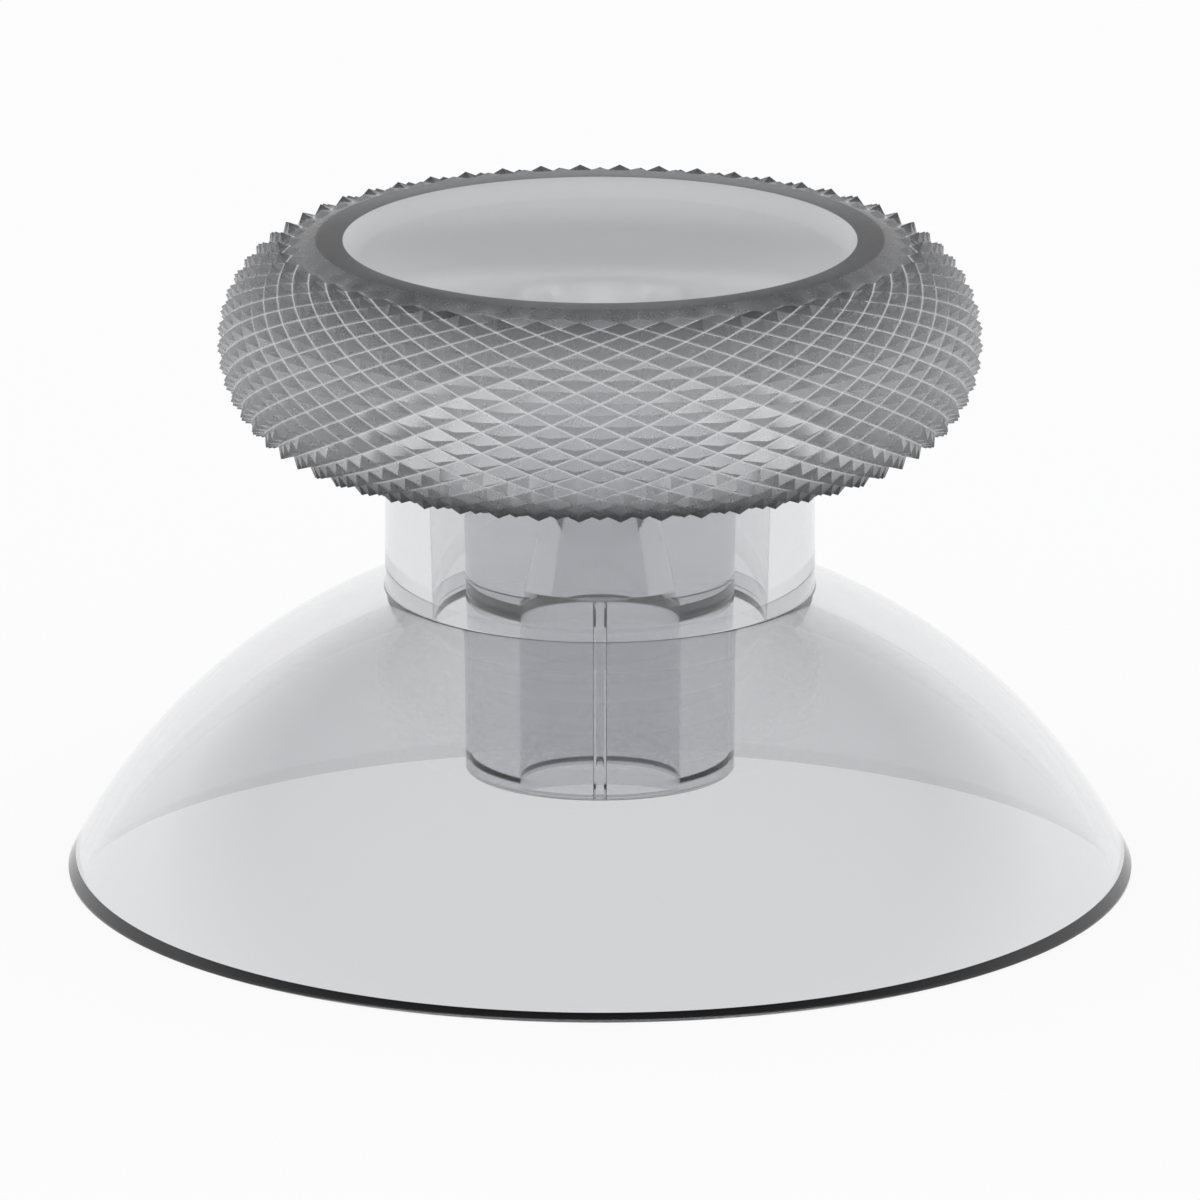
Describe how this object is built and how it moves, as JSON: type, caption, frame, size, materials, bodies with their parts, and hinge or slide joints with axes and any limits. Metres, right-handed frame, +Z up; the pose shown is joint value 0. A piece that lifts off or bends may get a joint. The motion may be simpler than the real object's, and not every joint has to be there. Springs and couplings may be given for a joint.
{
  "type": "controller thumbstick",
  "caption": "Clear one-piece thumbstick cap with a dished, diamond-knurled top, a tubular neck, a hollow dome skirt and a round ribbed socket for the stick's shaft.",
  "frame": {"origin": "centre of the dome's rim, in the plane that the rim rests on", "axes": "+Z up along the stick's axis, from the rim to the dished cap; the socket's two crush ribs lie at -Y and +Y"},
  "size_m": [0.0252, 0.0252, 0.0153],
  "materials": {
    "clear_plastic": "clear polished polycarbonate with a faint cool grey tint"
  },
  "bodies": {
    "root": {"thumbstick": "clear_plastic"}
  },
  "joints": []
}
